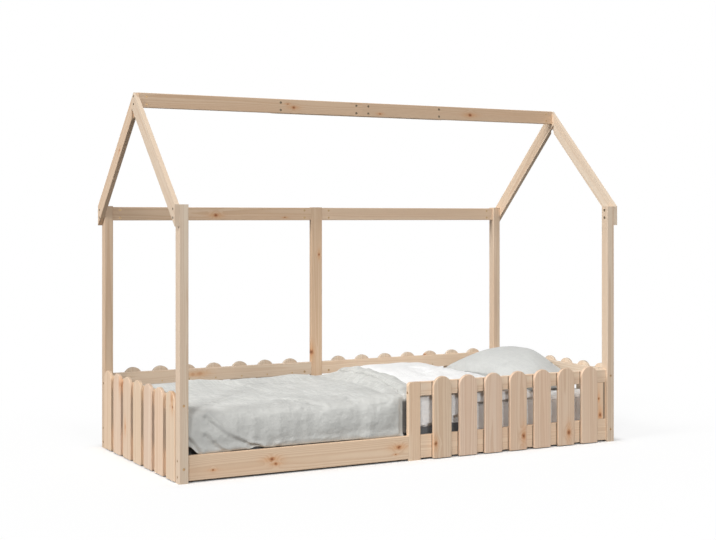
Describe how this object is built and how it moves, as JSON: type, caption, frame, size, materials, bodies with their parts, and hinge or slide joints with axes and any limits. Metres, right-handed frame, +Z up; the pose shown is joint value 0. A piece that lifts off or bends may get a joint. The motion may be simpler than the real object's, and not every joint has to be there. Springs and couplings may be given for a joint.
{
  "type": "kids bed",
  "caption": "Low floor bed for a child with a house-shaped timber frame, a picket fence round the mattress, and a mattress, duvet and pillow.",
  "frame": {"origin": "centre of the bed's outer box, on the floor", "axes": "+X along the bed to the head end, +Y from the open front to the back, +Z up"},
  "size_m": [2.116, 0.888, 1.495],
  "materials": {
    "pine": "sanded, untreated",
    "pine_base": "planed, untreated",
    "beech": "plain",
    "steel": "zinc plated",
    "mattress_cover": "woven cotton",
    "duvet_grey": "washed cotton",
    "duvet_white": "washed cotton",
    "pillow_grey": "washed cotton"
  },
  "bodies": {
    "frame": {"post_front_left": "pine", "post_front_right": "pine", "post_back_left": "pine", "post_back_right": "pine", "upright_back": "pine", "upright_fence": "pine", "rafter_front_left": "pine", "rafter_back_left": "pine", "rafter_front_right": "pine", "rafter_back_right": "pine", "ridge_left": "pine", "ridge_right": "pine", "ridge_splice": "pine", "top_rail_left": "pine", "top_rail_right": "pine", "side_rail_front_left": "pine", "side_rail_front_right": "pine", "side_rail_back_left": "pine", "side_rail_back_right": "pine", "end_rail_left": "pine", "end_rail_right": "pine", "guard_rail_front": "pine", "guard_rail_back_left": "pine", "guard_rail_back_right": "pine", "guard_rail_end_left": "pine", "guard_rail_end_right": "pine", "fence_fillers": "pine", "fence_picket_1": "pine", "fence_picket_2": "pine", "fence_picket_3": "pine", "fence_picket_4": "pine", "fence_picket_5": "pine", "fence_picket_6": "pine", "fence_picket_7": "pine", "end_picket_1": "pine", "end_picket_2": "pine", "end_picket_3": "pine", "end_picket_4": "pine", "end_picket_5": "pine", "end_picket_6": "pine", "end_picket_7": "pine", "end_pickets_right": "pine", "back_pickets_left": "pine", "back_pickets_right": "pine", "ledger_front": "pine_base", "ledger_back": "pine_base", "bed_slats": "pine_base", "frame_bolts": "steel", "gable_bolts": "steel", "splice_bolts": "steel", "upright_studs": "steel", "barrel_nuts": "steel", "hex_nuts": "steel", "dowels": "beech", "picket_screws": "steel", "base_screws": "steel"},
    "mattress": {"mattress": "mattress_cover"},
    "duvet": {"duvet": "duvet_grey", "duvet_turnback": "duvet_white"},
    "pillow": {"pillow": "pillow_grey"}
  },
  "joints": [
    {"name": "mattress_lift", "type": "slide", "parent": "frame", "child": "mattress", "axis": [0, 0, 1], "range_m": [0, 0.3]},
    {"name": "duvet_lift", "type": "slide", "parent": "mattress", "child": "duvet", "axis": [0, 0, 1], "range_m": [0, 0.3]},
    {"name": "pillow_lift", "type": "slide", "parent": "mattress", "child": "pillow", "axis": [0, 0, 1], "range_m": [0, 0.3]}
  ]
}
